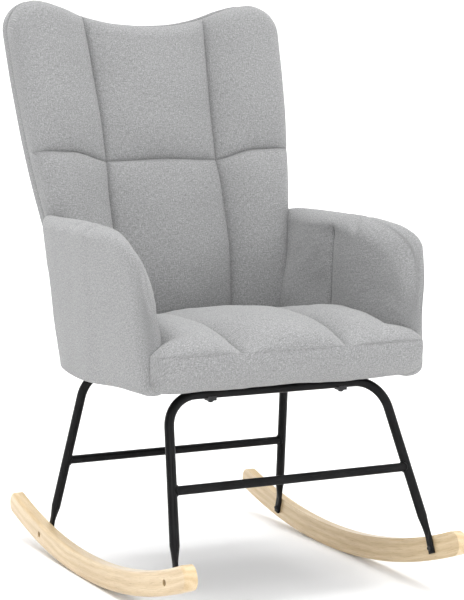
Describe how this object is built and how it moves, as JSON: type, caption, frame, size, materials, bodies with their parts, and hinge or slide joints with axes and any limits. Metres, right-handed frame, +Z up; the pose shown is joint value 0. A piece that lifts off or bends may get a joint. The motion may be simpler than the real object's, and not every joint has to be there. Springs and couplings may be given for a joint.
{
  "type": "rocking chair",
  "caption": "Upholstered rocking chair: channelled seat, padded arms and a tufted winged back on bent black tube legs and curved wooden rockers.",
  "frame": {"origin": "bottom centre of the chair's box, on the floor midway between the two rockers", "axes": "+Z up, the sitter faces -Y, +X to the right seen from the front"},
  "size_m": [0.556, 0.755, 0.98],
  "materials": {
    "leg_steel": "matte black powder coat on round steel tube",
    "black_fasteners": "black oxide socket-head fasteners",
    "zinc_steel": "zinc-plated steel, hidden inside the upholstery",
    "rocker_wood": "pale rubberwood under clear satin lacquer",
    "frame_wood": "raw sawn pine",
    "plywood": "raw birch plywood",
    "upholstery": "light grey heathered woven polyester over foam",
    "webbing": "black elastic webbing",
    "dust_cloth": "thin black non-woven cloth"
  },
  "bodies": {
    "root": {"arm_bolts": "zinc_steel", "arm_pad_left": "upholstery", "arm_pad_right": "upholstery", "arm_panel_left": "plywood", "arm_panel_right": "plywood", "arm_tee_nuts": "zinc_steel", "back_bottom_rail": "frame_wood", "back_bracket_left": "zinc_steel", "back_bracket_right": "zinc_steel", "back_cushion": "upholstery", "back_lumbar_rail": "frame_wood", "back_rear_cover": "upholstery", "back_stile_left": "frame_wood", "back_stile_right": "frame_wood", "back_top_rail": "frame_wood", "back_webbing": "webbing", "bracket_screws": "zinc_steel", "front_crossbar": "leg_steel", "front_leg_tube": "leg_steel", "leg_bolts": "black_fasteners", "leg_saddle_washers": "black_fasteners", "leg_tee_nuts": "zinc_steel", "rear_crossbar": "leg_steel", "rear_leg_tube": "leg_steel", "rocker_bolts": "black_fasteners", "rocker_left": "rocker_wood", "rocker_right": "rocker_wood", "rocker_sleeve_nuts": "black_fasteners", "seat_corner_blocks": "frame_wood", "seat_cushion": "upholstery", "seat_dust_cover": "dust_cloth", "seat_front_rail": "frame_wood", "seat_rear_rail": "frame_wood", "seat_side_rail_left": "frame_wood", "seat_side_rail_right": "frame_wood", "seat_webbing_crosswise": "webbing", "seat_webbing_lengthwise": "webbing"}
  },
  "joints": []
}
